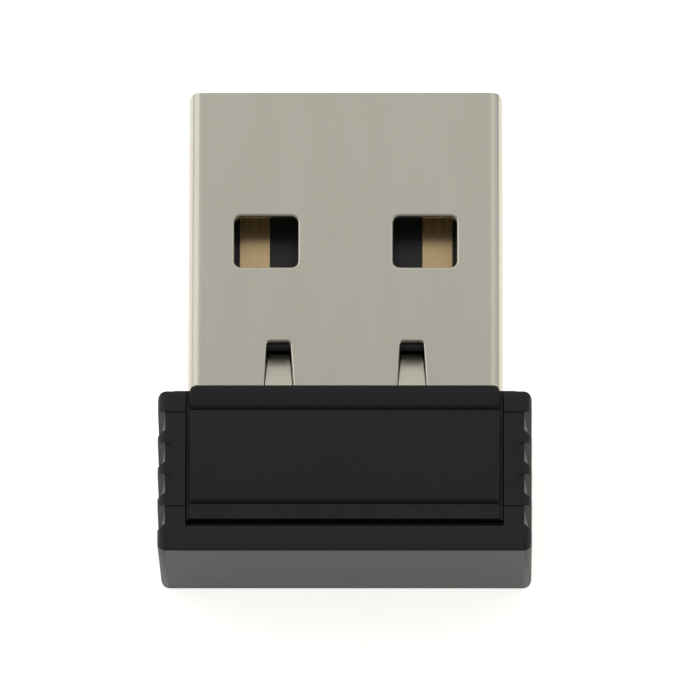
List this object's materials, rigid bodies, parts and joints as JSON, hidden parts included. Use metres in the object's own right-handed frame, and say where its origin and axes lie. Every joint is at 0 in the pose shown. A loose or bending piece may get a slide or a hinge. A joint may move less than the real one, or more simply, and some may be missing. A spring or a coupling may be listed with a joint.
{
  "type": "usb wifi adapter",
  "caption": "Nano-size USB wireless network adapter: a steel type-A plug around a printed board, in a short black housing with side grips.",
  "frame": {"origin": "under the middle of the bounding box, in the plane of the housing's back face that it lies on", "axes": "+X across the plug, +Y out of the plug's mouth, +Z out of the broad face that has the hollow over the contacts"},
  "size_m": [0.0142, 0.0182, 0.007],
  "materials": {
    "plug_steel": "nickel-plated rolled steel sheet, satin, with a warm grey tone and faint lengthwise rolling lines",
    "insulator": "moulded black insulator, plain matte",
    "board": "glass-epoxy board under black solder mask, slight gloss",
    "contact_gold": "gold-plated copper pads, softly polished",
    "chip_resin": "black moulded epoxy, matte",
    "crystal_ceramic": "fired beige ceramic",
    "crystal_metal": "plated metal lid, satin",
    "ferrite": "dark sintered ferrite with a coated winding",
    "antenna_gold": "gold-plated copper track",
    "capacitor_ceramic": "tan multilayer ceramic between tinned ends",
    "resistor": "black glazed chip between tinned ends",
    "inductor_ceramic": "pale ceramic between tinned ends",
    "solder": "smooth solidified solder, bright",
    "housing_plastic": "black moulded plastic with a fine spark texture, semi-matte"
  },
  "bodies": {
    "root": {"plug_shell": "plug_steel", "plug_carrier": "insulator", "circuit_board": "board", "contact_power": "contact_gold", "contact_data_minus": "contact_gold", "contact_data_plus": "contact_gold", "contact_ground": "contact_gold", "wifi_chip": "chip_resin", "crystal_base": "crystal_ceramic", "crystal_lid": "crystal_metal", "power_inductor": "ferrite", "antenna_trace": "antenna_gold", "bias_resistor": "resistor", "pull_up_resistor": "resistor", "usb_resistor": "resistor", "matching_inductor": "inductor_ceramic", "solder_joint_left": "solder", "solder_joint_right": "solder", "inner_shell_front": "housing_plastic", "inner_shell_rear": "housing_plastic", "outer_cap": "housing_plastic", "supply_capacitor_input": "capacitor_ceramic", "supply_capacitor_output": "capacitor_ceramic", "bypass_capacitor_left": "capacitor_ceramic", "bypass_capacitor_right": "capacitor_ceramic", "bypass_capacitor_middle": "capacitor_ceramic", "crystal_capacitor_left": "capacitor_ceramic", "crystal_capacitor_right": "capacitor_ceramic", "matching_capacitor": "capacitor_ceramic"}
  },
  "joints": []
}
